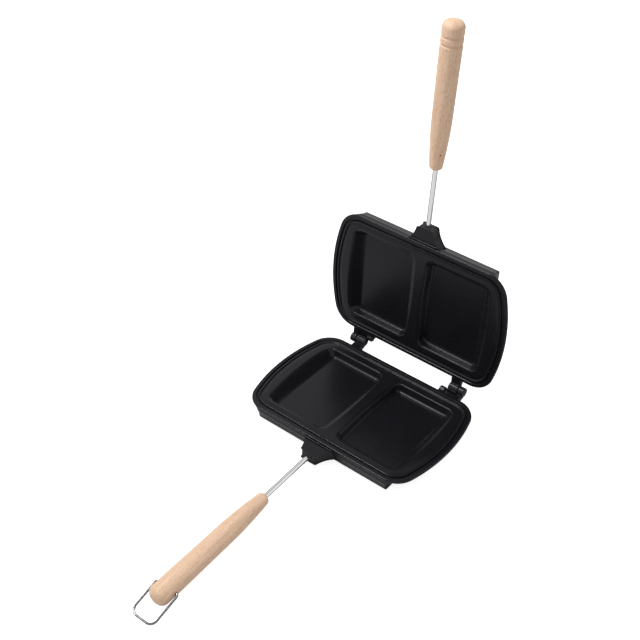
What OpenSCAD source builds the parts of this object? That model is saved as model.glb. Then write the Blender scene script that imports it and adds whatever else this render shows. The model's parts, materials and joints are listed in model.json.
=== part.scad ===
// Double pie iron: two cast pans on a clevis hinge, steel rods, turned wooden handles and a wire bail.
// Each pan is drawn in the casting's own frame: X along the hinge, +Y towards it, the face that
// meets the other pan at z = 0 and the underside below it. The upper pan is the same casting turned over.

/* [Pan] */
// Width of the rim at the widest part of its bowed sides
pan_w = 250; // [235:1:280]
// Width between the bowed sides at the front and back edges, before the corners are rounded
pan_end_w = 219; // [208:1:226]
// Depth of the rim, from the front edge to the edge by the hinge
pan_d = 165; // [150:1:180]
// Radius of the rim's corners, seen from above
pan_corner_r = 29.5; // [24:0.5:34]
// Height of one pan, from its underside to the face that meets the other pan
pan_h = 20; // [18:0.1:24]
// Thickness of the flange that carries the rim
flange_t = 3.6; // [2.5:0.1:5]
// Width of the flat underside
base_w = 188.5; // [180:0.5:196]
// How far the front and back walls lean in from the rim to the underside
wall_lean = 4.2; // [2:0.1:6]
// Reach of the hollow blend between the side walls and the flange
cove_r = 9; // [6:0.5:10]

/* [Pockets] */
// Width of the rib between the two pockets
rib_w = 20; // [14:0.5:28]
// Distance from the middle of the rib to the outer wall of a pocket, at the top
pocket_reach = 98; // [92:0.5:103]
// How much nearer that wall is at the pocket's floor
pocket_lean = 5; // [3:0.5:12]
// How much nearer that wall is at the pocket's front and back ends
pocket_bow = 4.2; // [2:0.1:8]
// Length of a pocket, from front to back
pocket_d = 124; // [110:1:132]
// Depth of a pocket below the field round it
pocket_depth = 10; // [7:0.1:12]
// Radius of a pocket's corners, seen from above
pocket_corner_r = 9; // [6:0.5:14]
// Radius of the blend between a pocket's wall and its floor
pocket_floor_r = 5; // [3:0.5:6]
// Width of the eased edge round each pocket
pocket_ease = 2.5; // [1:0.1:3]

/* [Sealing bead] */
// Distance from the edge of the rim to the channel outside the bead
rim_land = 4.6; // [3:0.1:6]
// Width of that channel
channel_w = 3.4; // [2:0.1:4]
// Depth of the channel
channel_depth = 1.2; // [0.6:0.1:1.6]
// Width of the raised bead
bead_w = 2.4; // [1.6:0.1:3.4]
// How far the bead stands above the field inside it
bead_h = 0.7; // [0.4:0.1:1.2]
// Width of the steam gap in the front of the bead
steam_gap_w = 6; // [3:0.5:10]

/* [Hinge] */
// Distance from the back edge of the rim to the hinge axis
hinge_reach = 14; // [12.5:0.1:18]
// Radius of the hinge knuckles
knuckle_r = 6; // [4.5:0.1:6.5]
// Diameter of the hinge pins
hinge_pin_d = 4; // [3:0.1:5]
// Distance from the middle of the pan to the middle of the single lug
lug_x = 70.5; // [66:0.1:72]
// Width of the single lug
lug_w = 13; // [8:0.1:14]
// Reach of the heel on the lug that stops the hinge, beyond the hinge axis
heel_reach = 8; // [7:0.1:9]
// Width of the tall outer ear, which holds the pin
ear_w = 8; // [5:0.1:9]
// Width of the low inner cheek, which guides the lug
cheek_w = 6; // [4:0.1:8]
// How far the low cheek reaches behind the rim
cheek_reach = 10; // [8:0.1:11]
// Height of the low cheek above the meeting face
cheek_rise = 3.6; // [2:0.1:4.5]
// Depth of the arms that carry the knuckles, where they leave the pan
arm_depth = 10; // [8:0.5:14]
// Free play on each side of the lug
lug_play = 0.5; // [0.3:0.1:1]
// Gap between the two rims when the iron is shut
closed_gap = 0.4; // [0.2:0.1:1]
// Angle between the pans when the iron stands open
open_angle = 92.1; // [85:0.1:100]

/* [Rods] */
// Diameter of the steel rods
rod_d = 6; // [5:0.1:8]
// Length of rod to be seen between a pan's boss and its handle
rod_show = 78; // [60:1:110]
// Depth of the rod's seat in the boss
rod_seat = 18; // [14:0.5:20]
// Depth of the rod's seat in the wood
rod_in_wood = 60; // [40:1:80]
// Depth of the rod's axis below the meeting face, where it leaves the boss
rod_drop = 9.4; // [8:0.1:11]
// Angle at which the lower rod leaves its pan, away from the upper one
lower_lean = 2.25; // [1.5:0.05:3]
// The same for the upper rod
upper_lean = 0.1; // [0:0.05:1]
// Distance from the front edge of the rim to the end of the boss
boss_reach = 18.7; // [16:0.1:26]
// Width of the boss where it leaves the pan
boss_root_w = 46; // [36:0.5:60]
// Width of the boss at its end
boss_tip_w = 20; // [14:0.5:26]
// Radius of the hollow curve down each side of the boss
boss_side_r = 38; // [30:1:60]
// Step from the meeting face down to the top of the boss
boss_step = 2.4; // [1.5:0.1:3.5]
// Height of the boss's underside above the pan's underside
boss_lift = 3.8; // [1:0.1:4.5]
// Diameter of the pin that locks a rod in its boss
lock_pin_d = 3; // [2:0.1:3.5]
// Distance from the end of the boss to that pin
lock_pin_back = 10; // [6:0.5:13]

/* [Handles] */
// Length of a wooden handle
handle_len = 174; // [140:1:220]
// Diameter at the front end, behind its eased edge
neck_d = 15.8; // [13:0.1:18]
// Diameter at the shoulder, where the long neck ends
shoulder_d = 22.8; // [20:0.1:26]
// Largest diameter, near the back end
grip_d = 24.8; // [22:0.1:28]
// Distance from the front end to the shoulder
neck_len = 50; // [35:1:70]
// Radius of the eased front edge
front_ease = 2.2; // [1:0.1:3]
// Length of the rounded back end
dome_len = 9; // [6:0.5:12]
// Depth of the two grooves before the upper handle's knob
groove_depth = 1.4; // [0.8:0.1:2]
// Distance from the back end to the groove that takes the bail
groove_back = 18; // [14:0.5:24]
// Distance between the two grooves
groove_pitch = 8.7; // [6:0.1:12]
// Diameter of the brad that keeps a handle on its rod
brad_d = 2; // [1.5:0.1:2.5]
// Distance from the handle's front end to the brad
brad_back = 21; // [12:0.5:30]
// Angle of the brad round the handle, from the side that faces the other handle
brad_angle = 51; // [0:1:90]

/* [Bail] */
// Diameter of the bail's wire
wire_d = 2.5; // [2:0.1:3]
// Clear width between the bail's legs
bail_inside_w = 28; // [26.6:0.1:32]
// Radius of the bail's far corners, on the wire's centre line
bail_corner_r = 8.3; // [4:0.1:12]
// Radius of the bend where each leg turns into the handle
bail_hook_r = 3; // [2:0.1:3]
// Length of wire inside the handle on each side
bail_hold = 8; // [4:0.5:10]
// Distance from the handle's back end to the bail's hole
bail_back = 20; // [14:0.5:28]
// Radial play of the wire in its hole and of the hinge pins in the lugs
running_play = 0.05; // [0.02:0.01:0.1]

/* [Hidden] */

SEGMENTS = 64;             // round bores, pins, rods and wire
HANDLE_SEGMENTS = 96;
SIDE_STEPS = 8;            // points along half of a bowed side
CORNER_STEPS = 8;          // points round one corner
SLICE = 0.01;              // thickness of the outlines that a hull joins
CUT = 1;                   // how far a cut runs past the surface that it opens
CLEARANCE = 0.4;           // between a turning knuckle and the other casting
ARM_MEETS = [-0.5, 0.8];   // where an arm's upper line enters its knuckle, in knuckle radii
STOP_GAP = 0.05;           // left between the heel and the web, so that they only just meet
CHEEK_TURN = 140;          // how far round the low cheek's top goes, in degrees
PIN_COVER = 1.5;           // metal left between the locking pin's inner end and the top of the boss
PIN_SUNK = 0.5;            // depth of the locking pin's outer end inside the boss
HINGE_PIN_SUNK = 0.3;      // depth of a hinge pin's outer end inside the ear
BRAD_PAST = 2;             // how far a brad runs past its rod
BRAD_SUNK = 0.2;           // depth of a brad's outer end inside the wood
GROOVE_R = 1.6;            // radius of a groove's round bottom
SHOULDER_RUN = 10;         // length over which the neck turns into the grip, each way
FLOOR_STEPS = 4;           // steps in the blend between a pocket's wall and its floor
EASE_STEPS = 3;            // steps in a handle's eased front edge
SHOULDER_STEPS = 6;
GROOVE_STEPS = 6;
DOME_STEPS = 10;

COATING = [0.16, 0.16, 0.17];
STEEL = [0.78, 0.79, 0.80];
BEECH = [0.86, 0.72, 0.58];

// ---- the rim outline: bowed sides, straight front and back, rounded corners ----
side_sag = (pan_w - pan_end_w)/2;
side_r = (side_sag*side_sag + pan_d*pan_d/4)/(2*side_sag);
side_cx = pan_w/2 - side_r;
corner_cy = pan_d/2 - pan_corner_r;
corner_cx = side_cx + sqrt(pow(side_r - pan_corner_r, 2) - corner_cy*corner_cy);
tangent_angle = atan2(corner_cy, corner_cx - side_cx);

function arc(cx, cy, r, from, to, steps, first = 0) =
    [for (k = [first:steps]) let (a = from + (to - from)*k/steps) [cx + r*cos(a), cy + r*sin(a)]];
function reversed(pts) = [for (k = [len(pts) - 1:-1:0]) pts[k]];
function flip_x(pts) = [for (p = pts) [-p.x, p.y]];
function flip_y(pts) = [for (p = pts) [p.x, -p.y]];

function rim_quarter(inset) = concat(
    arc(side_cx, 0, side_r - inset, 0, tangent_angle, SIDE_STEPS),
    arc(corner_cx, corner_cy, pan_corner_r - inset, tangent_angle, 90, CORNER_STEPS, 1));
function rim_half(inset) = concat(rim_quarter(inset), reversed(flip_x(rim_quarter(inset))));
function rim_outline(inset) = concat(rim_half(inset), reversed(flip_y(rim_half(inset))));

// ---- heights and places in the casting's frame ----
rim_front = -pan_d/2;
rim_back = pan_d/2;
hinge_y = rim_back + hinge_reach;
hinge_z = closed_gap/2;
boss_end = rim_front - boss_reach;
bead_inset = rim_land + channel_w;
field_inset = bead_inset + bead_w;
pocket_floor = -bead_h - pocket_depth;
stop_y = hinge_y - knuckle_r - CLEARANCE;      // back of the web, which the lug's heel comes to rest on
arm_root = rim_back - wall_lean;
arm_top = rim_back + CLEARANCE;

lug_in = lug_x - lug_w/2;
lug_out = lug_x + lug_w/2;
ear_in = lug_out + lug_play;
ear_out = ear_in + ear_w;
cheek_out = lug_in - lug_play;
cheek_in = cheek_out - cheek_w;

// ---- one pocket's outline on the +X side, "inset" inside itself and "drop" below the field ----
pocket_bow_r = (pocket_bow*pocket_bow + pocket_d*pocket_d/4)/(2*pocket_bow);
function pocket_corner(inset, drop) =
    let (r = pocket_corner_r - inset,
         reach = pocket_reach - inset - pocket_lean*drop/pocket_depth,
         half = pocket_d/2 - inset,
         bow_r = pocket_bow_r - inset,
         cy = half - r,
         cx = reach - bow_r + sqrt(pow(bow_r - r, 2) - cy*cy))
    [cx, cy, r, bow_r, reach - bow_r];
function pocket_half(inset, drop) =
    let (c = pocket_corner(inset, drop), lean = atan2(c[1], c[0] - c[4]))
    concat(arc(c[4], 0, c[3], 0, lean, SIDE_STEPS/2),
           arc(c[0], c[1], c[2], lean, 90, CORNER_STEPS, 1),
           arc(rib_w/2 + inset + c[2], c[1], c[2], 90, 180, CORNER_STEPS));
function pocket_outline(inset, drop = 0) =
    concat(pocket_half(inset, drop), reversed(flip_y(pocket_half(inset, drop))));

// ---- handles: radius and distance along the axis, from the front end ----
neck_r = neck_d/2;
shoulder_r = shoulder_d/2;
grip_r = grip_d/2;
dome_start = handle_len - dome_len;
groove_half = sqrt(pow(GROOVE_R, 2) - pow(GROOVE_R - groove_depth, 2));

function neck_at(t) = neck_r + (shoulder_r - neck_r)*(t - front_ease)/(neck_len - front_ease);
function grip_at(t) = shoulder_r + (grip_r - shoulder_r)*(t - neck_len)/(dome_start - neck_len);
function blend(a, b, u) = a*(1 - u)*(1 - u) + 2*shoulder_r*u*(1 - u) + b*u*u;
function shoulder_points() =
    let (from = neck_len - SHOULDER_RUN, to = neck_len + SHOULDER_RUN)
    [for (k = [0:SHOULDER_STEPS]) let (u = k/SHOULDER_STEPS)
        [blend(neck_at(from), grip_at(to), u), from + (to - from)*u]];
function dome_points() =
    [for (k = [0:DOME_STEPS]) let (a = 90*k/DOME_STEPS) [grip_r*cos(a), dome_start + dome_len*sin(a)]];
function groove_points(at) =
    let (r = grip_at(at), top = acos(groove_half/GROOVE_R))
    [for (k = [0:GROOVE_STEPS]) let (a = 180 + top + (180 - 2*top)*k/GROOVE_STEPS)
        [r + GROOVE_R - groove_depth + GROOVE_R*sin(a), at + GROOVE_R*cos(a)]];
function handle_profile(grooves) = concat(
    [[0, 0]],
    [for (k = [0:EASE_STEPS]) let (a = 90*k/EASE_STEPS)
        [neck_r - front_ease + front_ease*sin(a), front_ease - front_ease*cos(a)]],
    shoulder_points(),
    [for (at = grooves) each groove_points(at)],
    dome_points());

latch_groove = handle_len - groove_back;
bail_hole = handle_len - bail_back;
lower_profile = handle_profile([]);
upper_profile = handle_profile([latch_groove - groove_pitch, latch_groove]);

// ---- a point at distance s along a rod's axis from the boss's end, and h above the axis ----
function on_axis(s, h, lean) =
    [0, boss_end - s*cos(lean) - h*sin(lean), -rod_drop - s*sin(lean) + h*cos(lean)];

// ---- how the upper pan lies on the lower one, and how the whole iron stands ----
function turned_over(p) = [-p.x, p.y, closed_gap - p.z];
function swung(p, a) =
    let (y = p.y - hinge_y, z = p.z - hinge_z)
    [p.x, hinge_y + y*cos(a) + z*sin(a), hinge_z - y*sin(a) + z*cos(a)];

base_back = [0, rim_back - wall_lean, -pan_h];
// The iron stands on the lower pan's back edge and the lower handle, so it leans by this angle.
stance = max([for (p = lower_profile)
    let (q = on_axis(rod_show + p.y, -p.x, lower_lean))
    atan2(base_back.z - q.z, base_back.y - q.y)]);
function levelled(p) = [p.x, p.y*cos(stance) + p.z*sin(stance), -p.y*sin(stance) + p.z*cos(stance)];
lift = -levelled(base_back).z;

pivot = levelled(on_axis(rod_show + bail_hole, 0, lower_lean)) + [0, 0, lift];
// The latched bail spans both handles at the upper one's groove.
latch_gap = norm(turned_over(on_axis(rod_show + latch_groove, 0, upper_lean))
                 - on_axis(rod_show + bail_hole, 0, lower_lean));
bail_len = latch_gap + grip_at(latch_groove) - groove_depth + wire_d/2;
bail_dip = asin((pivot.z - wire_d/2)/bail_len);

front_end = pivot.y - bail_len*cos(bail_dip) - wire_d/2;
back_points = concat([for (y = [-base_back.y, base_back.y]) [0, y, -pan_h]],
                     [for (p = upper_profile) on_axis(rod_show + p.y, -p.x, upper_lean)]);
back_end = max([for (p = back_points) levelled(swung(turned_over(p), open_angle)).y]);
centring = -(front_end + back_end)/2;

echo(stance = stance, lift = lift, centring = centring, bail_len = bail_len, bail_dip = bail_dip);

module standing() {
    translate([0, centring, lift]) rotate([-stance, 0, 0]) children();
}

module opened() {
    standing() translate([0, hinge_y, hinge_z]) rotate([-open_angle, 0, 0])
        translate([0, -hinge_y, -hinge_z + closed_gap]) rotate([0, 180, 0]) children();
}

// Z runs out along the rod's axis from the end of the boss, and Y points to the meeting face.
module on_rod(lean) {
    translate([0, boss_end, -rod_drop]) rotate([90 + lean, 0, 0]) children();
}

module slab(outline, low, high) {
    translate([0, 0, low]) linear_extrude(high - low) polygon(outline);
}

module slice_at(outline, z) {
    slab(outline, z - SLICE/2, z + SLICE/2);
}

module rect_slice(w, d, z) {
    translate([-w/2, -d/2, z - SLICE/2]) cube([w, d, SLICE]);
}

module x_cylinder(r, from, to) {
    translate([from, 0, 0]) rotate([0, 90, 0]) cylinder(r = r, h = to - from, $fn = SEGMENTS);
}

module x_prism(outline, from, to) {
    translate([from, 0, 0]) rotate([90, 0, 90]) linear_extrude(to - from) polygon(outline);
}

// ---- the casting ----
module tub() {
    flange_back = pan_d - 2*wall_lean*flange_t/pan_h;
    hull() {
        rect_slice(base_w, pan_d - 2*wall_lean, -pan_h + SLICE/2);
        rect_slice(base_w, flange_back, -flange_t);
    }
    hull() {
        rect_slice(base_w + SLICE, flange_back - SLICE, -flange_t - cove_r);
        slice_at([for (p = rim_outline(0)) [p.x*(base_w + 2*cove_r)/pan_w, p.y*flange_back/pan_d]],
                 -flange_t);
    }
    slab(rim_outline(0), -flange_t, 0);
}

// Joins outlines of equally many points, drawn anticlockwise and listed from the lowest up.
module loft(outlines, heights) {
    count = len(outlines[0]);
    last = len(outlines) - 1;
    points = [for (k = [0:last]) for (p = outlines[k]) [p.x, p.y, heights[k]]];
    sides = [for (k = [0:last - 1]) for (i = [0:count - 1])
        let (a = k*count + i, b = k*count + (i + 1)%count)
        each [[a, a + count, b], [b, a + count, b + count]]];
    polyhedron(points, concat([[for (i = [0:count - 1]) i]], sides,
                              [[for (i = [count - 1:-1:0]) last*count + i]]));
}

module pocket() {
    // the blend from the floor up to the wall, as steps in from the wall and up from the floor
    blend_in = [for (k = [0:FLOOR_STEPS]) pocket_floor_r*(1 - sin(90*k/FLOOR_STEPS))];
    blend_up = [for (k = [0:FLOOR_STEPS]) pocket_floor_r*(1 - cos(90*k/FLOOR_STEPS))];
    outlines = concat(
        [for (k = [0:FLOOR_STEPS]) pocket_outline(blend_in[k], pocket_depth - blend_up[k])],
        [pocket_outline(0, pocket_ease), pocket_outline(-pocket_ease), pocket_outline(-pocket_ease)]);
    heights = concat([for (up = blend_up) pocket_floor + up], [-bead_h - pocket_ease, -bead_h, CUT]);
    loft(outlines, heights);
}

module face_cuts() {
    difference() {
        slab(rim_outline(rim_land), -channel_depth, CUT);
        slab(rim_outline(bead_inset), -channel_depth - CUT, 2*CUT);
    }
    slab(rim_outline(field_inset), -bead_h, CUT);
    translate([-steam_gap_w/2, rim_front + rim_land, -channel_depth])
        cube([steam_gap_w, field_inset, channel_depth + CUT]);
}

function boss_side() =
    let (root = [boss_root_w/2, rim_front + wall_lean], tip = [boss_tip_w/2, boss_end],
         chord = norm(tip - root), mid = (root + tip)/2, along = (tip - root)/chord,
         out = [-along.y, along.x],
         centre = mid + out*sqrt(boss_side_r*boss_side_r - chord*chord/4),
         from = atan2(root.y - centre.y, root.x - centre.x),
         to = atan2(tip.y - centre.y, tip.x - centre.x),
         turn = to - from > 180 ? to - from - 360 : to - from < -180 ? to - from + 360 : to - from)
    arc(centre.x, centre.y, boss_side_r, from, from + turn, CORNER_STEPS);

module boss() {
    slab(concat(boss_side(), reversed(flip_x(boss_side()))), -pan_h + boss_lift, -boss_step);
    // the part of the boss that runs on into the tub
    translate([-boss_root_w/2, rim_front + wall_lean - SLICE, -pan_h + boss_lift])
        cube([boss_root_w, wall_lean, pan_h - boss_lift - boss_step]);
}

// Side views, Y to the hinge and then Z. The arm that carries a knuckle runs out from the back wall.
module knuckle(from, to) {
    translate([0, hinge_y, hinge_z]) x_cylinder(knuckle_r, from, to);
    x_prism([[arm_root, -arm_depth], [arm_top, -arm_depth],
             [hinge_y, hinge_z - knuckle_r + CLEARANCE], [hinge_y, hinge_z + knuckle_r - CLEARANCE],
             [hinge_y, hinge_z] + knuckle_r*ARM_MEETS, [arm_top, -CLEARANCE], [arm_root, -CLEARANCE]],
            from, to);
}

// The heel behind the lug meets the other casting's web when the iron is open.
module heel(from, to) {
    top = knuckle_r + CLEARANCE - STOP_GAP;
    slope = open_angle - 90;
    translate([0, hinge_y, hinge_z]) x_prism([[0, 0], [heel_reach, 0],
        [heel_reach, top - heel_reach*tan(slope)], [0, top]], from, to);
}

module clevis() {
    knuckle(ear_in, ear_out);
    // the web behind the rim, between the ear and the cheek
    x_prism([[arm_root, -arm_depth], [stop_y, -arm_depth], [stop_y, -knuckle_r],
             [arm_top, -2*CLEARANCE], [arm_root, -CLEARANCE]], cheek_in, ear_out);
    // the cheek
    cheek_r = (cheek_reach - CLEARANCE)/2 - CLEARANCE;
    x_prism(concat([[arm_root, -knuckle_r], [rim_back + cheek_reach, -knuckle_r]],
                   arc(rim_back + cheek_reach - cheek_r, cheek_rise - cheek_r, cheek_r, 0, CHEEK_TURN,
                       CORNER_STEPS),
                   [[arm_top, -CLEARANCE], [arm_root, -CLEARANCE]]), cheek_in, cheek_out);
}

module casting(lean) {
    color(COATING) difference() {
        union() {
            tub();
            boss();
            clevis();
            knuckle(-lug_out, -lug_in);
            heel(-lug_out, -lug_in);
        }
        for (side = [0, 1]) mirror([side, 0, 0]) pocket();
        face_cuts();
        on_rod(lean) translate([0, 0, -rod_seat]) cylinder(d = rod_d, h = rod_seat + CUT, $fn = SEGMENTS);
        lock_pin_at(lean, CUT);
        translate([0, hinge_y, hinge_z]) {
            x_cylinder(hinge_pin_d/2, ear_in - CUT, ear_out + CUT);
            x_cylinder(hinge_pin_d/2 + running_play, -lug_out - CUT, -lug_in + CUT);
        }
    }
}

// The locking pin is driven in from the underside, through the rod and into the boss above it.
module lock_pin_at(lean, past = 0) {
    outer = pan_h - boss_lift - PIN_SUNK - rod_drop;
    inner = boss_step + PIN_COVER - rod_drop;
    on_rod(lean) translate([0, 0, -lock_pin_back]) rotate([90, 0, 0]) translate([0, 0, inner])
        cylinder(d = lock_pin_d, h = outer - inner + past, $fn = SEGMENTS);
}

module lock_pin(lean) {
    color(STEEL) lock_pin_at(lean);
}

module hinge_pin() {
    color(STEEL) translate([0, hinge_y, hinge_z]) x_cylinder(hinge_pin_d/2, lug_in, ear_out - HINGE_PIN_SUNK);
}

module rod(lean) {
    color(STEEL) difference() {
        on_rod(lean) translate([0, 0, -rod_seat])
            cylinder(d = rod_d, h = rod_seat + rod_show + rod_in_wood, $fn = SEGMENTS);
        lock_pin_at(lean, CUT);
        brad_at(lean);
    }
}

// ---- handles ----
brad_len = neck_at(brad_back) - BRAD_SUNK + rod_d/2 + BRAD_PAST;

module brad_at(lean, past = 0) {
    on_rod(lean) translate([0, 0, rod_show + brad_back]) rotate([0, 0, brad_angle])
        rotate([-90, 0, 0]) translate([0, 0, -rod_d/2 - BRAD_PAST])
            cylinder(d = brad_d, h = brad_len + past, $fn = SEGMENTS);
}

module brad(lean) {
    color(STEEL) brad_at(lean);
}

module turned_handle(profile, lean) {
    color(BEECH) difference() {
        on_rod(lean) translate([0, 0, rod_show]) rotate_extrude($fn = HANDLE_SEGMENTS) polygon(profile);
        on_rod(lean) translate([0, 0, rod_show - CUT])
            cylinder(d = rod_d, h = rod_in_wood + CUT, $fn = SEGMENTS);
        brad_at(lean, CUT);
        children();
    }
}

module lower_handle() {
    turned_handle(lower_profile, lower_lean)
        on_rod(lower_lean) translate([0, 0, rod_show + bail_hole])
            x_cylinder(wire_d/2 + running_play, -grip_d, grip_d);
}

module upper_handle() {
    turned_handle(upper_profile, upper_lean);
}

// ---- bail: Y runs from the pivot to the far bar, X along the pivot ----
leg_x = (bail_inside_w + wire_d)/2;

module wire(from, to) {
    span = to - from;
    translate([from.x, from.y, 0]) rotate([0, 0, atan2(span.y, span.x)])
        rotate([0, 90, 0]) cylinder(d = wire_d, h = norm(span), $fn = SEGMENTS);
}

module wire_bend(centre, r, from) {
    translate([centre.x, centre.y, 0]) rotate([0, 0, from])
        rotate_extrude(angle = 90, $fn = SEGMENTS) translate([r, 0]) circle(d = wire_d, $fn = SEGMENTS);
}

module bail_half() {
    wire([0, bail_len], [leg_x - bail_corner_r, bail_len]);
    wire_bend([leg_x - bail_corner_r, bail_len - bail_corner_r], bail_corner_r, 0);
    wire([leg_x, bail_hook_r], [leg_x, bail_len - bail_corner_r]);
    wire_bend([leg_x - bail_hook_r, bail_hook_r], bail_hook_r, -90);
    wire([grip_r - bail_hold, 0], [leg_x - bail_hook_r, 0]);
}

module bail() {
    color(STEEL) translate([0, centring, 0]) translate(pivot) rotate([bail_dip, 0, 0])
        rotate([0, 0, 180]) union() {
            bail_half();
            mirror([1, 0, 0]) bail_half();
        }
}

standing() casting(lower_lean);  // lower_pan
opened() casting(upper_lean);  // upper_pan
standing() rod(lower_lean);  // lower_rod
opened() rod(upper_lean);  // upper_rod
standing() lower_handle();
opened() upper_handle();
standing() brad(lower_lean);  // lower_handle_pin
opened() brad(upper_lean);  // upper_handle_pin
standing() lock_pin(lower_lean);  // lower_rod_pin
opened() lock_pin(upper_lean);  // upper_rod_pin
opened() hinge_pin();  // hinge_pin_left
standing() hinge_pin();  // hinge_pin_right
bail();
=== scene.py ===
import json
import math

import bmesh
import bpy
from bpy.props import FloatProperty, FloatVectorProperty, PointerProperty
from bpy.types import Operator, Panel, PropertyGroup
from mathutils import Matrix, Vector


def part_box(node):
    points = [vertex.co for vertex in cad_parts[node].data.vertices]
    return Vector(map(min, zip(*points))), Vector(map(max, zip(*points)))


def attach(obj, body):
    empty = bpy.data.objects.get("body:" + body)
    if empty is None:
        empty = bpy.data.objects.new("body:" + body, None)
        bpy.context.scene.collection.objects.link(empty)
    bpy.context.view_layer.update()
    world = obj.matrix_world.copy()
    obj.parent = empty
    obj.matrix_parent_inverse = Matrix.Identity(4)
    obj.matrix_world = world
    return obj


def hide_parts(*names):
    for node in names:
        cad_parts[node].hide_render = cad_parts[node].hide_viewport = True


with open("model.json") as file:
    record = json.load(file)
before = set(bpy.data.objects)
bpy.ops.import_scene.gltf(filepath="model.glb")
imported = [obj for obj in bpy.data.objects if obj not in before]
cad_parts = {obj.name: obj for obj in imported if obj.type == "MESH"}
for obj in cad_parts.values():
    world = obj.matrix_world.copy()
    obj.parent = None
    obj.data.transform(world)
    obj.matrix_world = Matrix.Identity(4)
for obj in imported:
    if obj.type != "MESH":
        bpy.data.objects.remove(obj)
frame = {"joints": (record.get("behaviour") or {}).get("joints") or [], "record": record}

bl_info = {
    "name": "Double pie iron",
    "version": (1, 0, 0),
    "blender": (4, 5, 0),
    "location": "3D View > Sidebar > Pie Iron",
    "description": "Builds a hinged double pie iron with turned beech handles round its CAD frame",
    "category": "Object",
}

MM = 0.001                  # the pieces are drawn in millimetres and placed in metres
ROUND = 2 * math.pi
HANDLE_STEPS = 96
ROD_STEPS = 48
WIRE_STEPS = 24
MERGE = 0.004               # points nearer than this, in millimetres, are one point
GRIP = 12.4                 # radius of a handle at its far end
GAP_RAMP = 1.2              # run over which the bead falls to the field at the steam gap
CHANNEL = 5.5               # from the rim's edge to the channel outside the bead
BOW_LOSS = 0.85             # share of a pocket's outer bow that is gone at its floor
BRAD_OUT = 9.5              # from a handle's axis to its surface at the brad

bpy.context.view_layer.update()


# ---- where the CAD puts things ----

def joint(name):
    return next(j for j in frame["joints"] if j["name"] == name)


HINGE_AT = Vector(joint("pan_hinge")["pos_m"])
OPEN_ANGLE = math.radians(joint("pan_hinge")["range_deg"][1])
BAIL_AT = Vector(joint("bail_swing")["pos_m"])
UNDERSIDE = next(m for m in frame["record"]["mounts"] if m["name"] == "underside")
STANCE = math.atan2(-UNDERSIDE["axis"][1], -UNDERSIDE["axis"][2])


# ---- sizes and finishes that a user may change ----

def length(name, millimetres, description):
    return FloatProperty(name=name, description=description, default=millimetres * MM, unit="LENGTH")


def angle(name, degrees, description):
    return FloatProperty(name=name, description=description, default=math.radians(degrees),
                         subtype="ANGLE", unit="ROTATION")


def colour(name, value, description):
    return FloatVectorProperty(name=name, description=description, default=value, size=3,
                               subtype="COLOR", min=0.0, max=1.0)


def amount(name, value, description):
    return FloatProperty(name=name, description=description, default=value, min=0.0, max=1.0,
                         subtype="FACTOR")


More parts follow.
